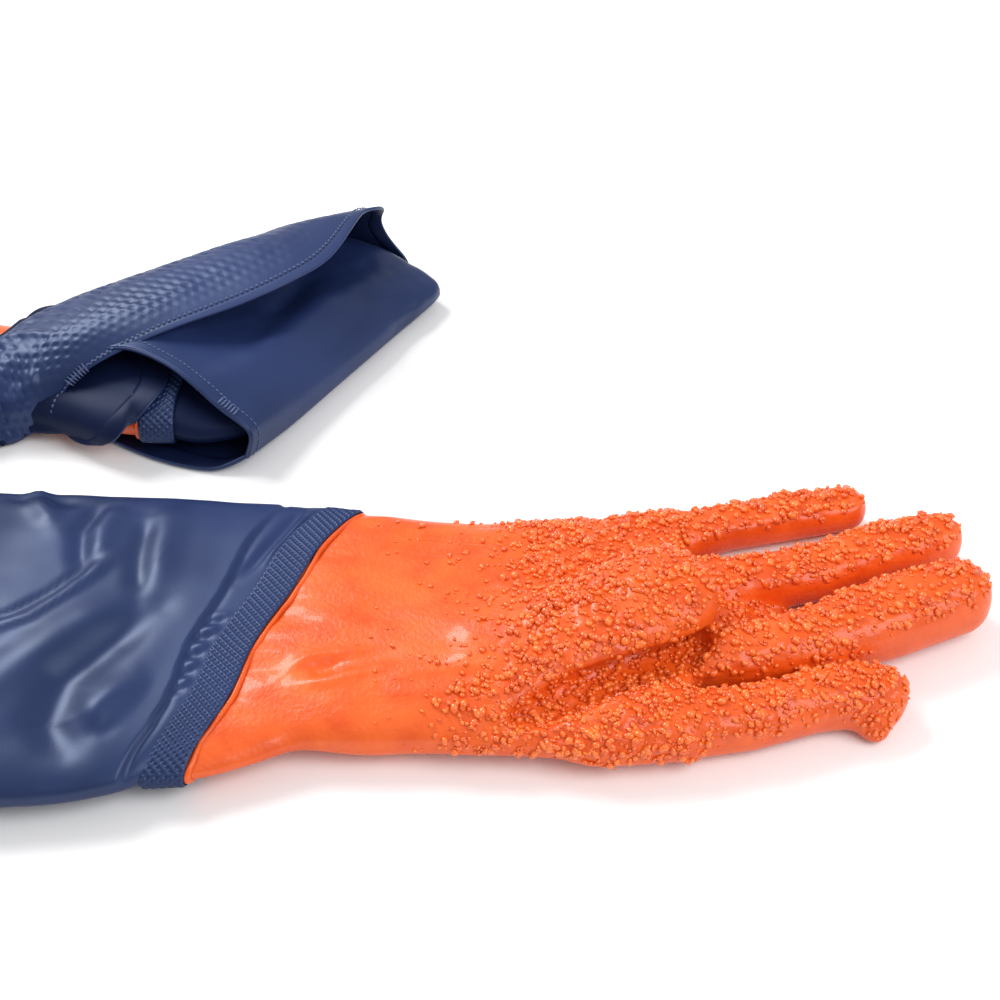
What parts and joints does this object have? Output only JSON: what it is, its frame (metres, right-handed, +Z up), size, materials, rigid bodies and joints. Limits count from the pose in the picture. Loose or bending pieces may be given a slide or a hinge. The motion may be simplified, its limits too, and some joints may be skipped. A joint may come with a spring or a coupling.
{
  "type": "cryogenic glove pair",
  "caption": "Pair of long-sleeved cryogenic gloves with granular grip palms, welded film sleeves and loose inner sleeves; one lies open, one is folded back.",
  "frame": {"origin": "on the table, below the middle of the pair's box", "axes": "+X along the front glove from its arm opening to its fingertips, +Y from the front glove to the back glove, +Z up"},
  "size_m": [0.6708, 0.3634, 0.0573],
  "materials": {
    "orange_pvc": "glossy",
    "knit_lining": "matte",
    "navy_film": "satin",
    "navy_stitches": "matte"
  },
  "bodies": {
    "front_glove": {"front_hand_shell": "orange_pvc", "front_hand_lining": "knit_lining", "front_grip_granules": "orange_pvc", "front_cuff_bead": "orange_pvc", "front_weld_band": "navy_film", "front_sleeve": "navy_film", "front_sleeve_seam": "navy_film", "front_sleeve_hem": "navy_film", "front_hem_stitches": "navy_stitches"},
    "front_inner_sleeve": {"front_inner_sleeve": "navy_film", "front_inner_sleeve_hem": "navy_film", "front_inner_hem_stitches": "navy_stitches"},
    "back_glove": {"back_hand_shell": "orange_pvc", "back_hand_lining": "knit_lining", "back_grip_granules": "orange_pvc", "back_cuff_bead": "orange_pvc", "back_weld_band": "navy_film", "back_sleeve": "navy_film", "back_sleeve_seam": "navy_film", "back_sleeve_hem": "navy_film", "back_hem_stitches": "navy_stitches", "back_sleeve_bar_tack": "navy_stitches"},
    "back_inner_sleeve": {"back_inner_sleeve": "navy_film", "back_inner_sleeve_hem": "navy_film", "back_inner_hem_stitches": "navy_stitches", "back_inner_bar_tack": "navy_stitches"}
  },
  "joints": [
    {"name": "front_inner_sleeve_slide", "type": "slide", "parent": "front_glove", "child": "front_inner_sleeve", "axis": [-1, 0, 0], "range_m": [0, 0.3]},
    {"name": "back_glove_lift", "type": "slide", "parent": "front_glove", "child": "back_glove", "axis": [0, 0, 1], "range_m": [0, 0.25]},
    {"name": "back_inner_sleeve_lift", "type": "slide", "parent": "back_glove", "child": "back_inner_sleeve", "axis": [0, 0, 1], "range_m": [0, 0.2]}
  ]
}
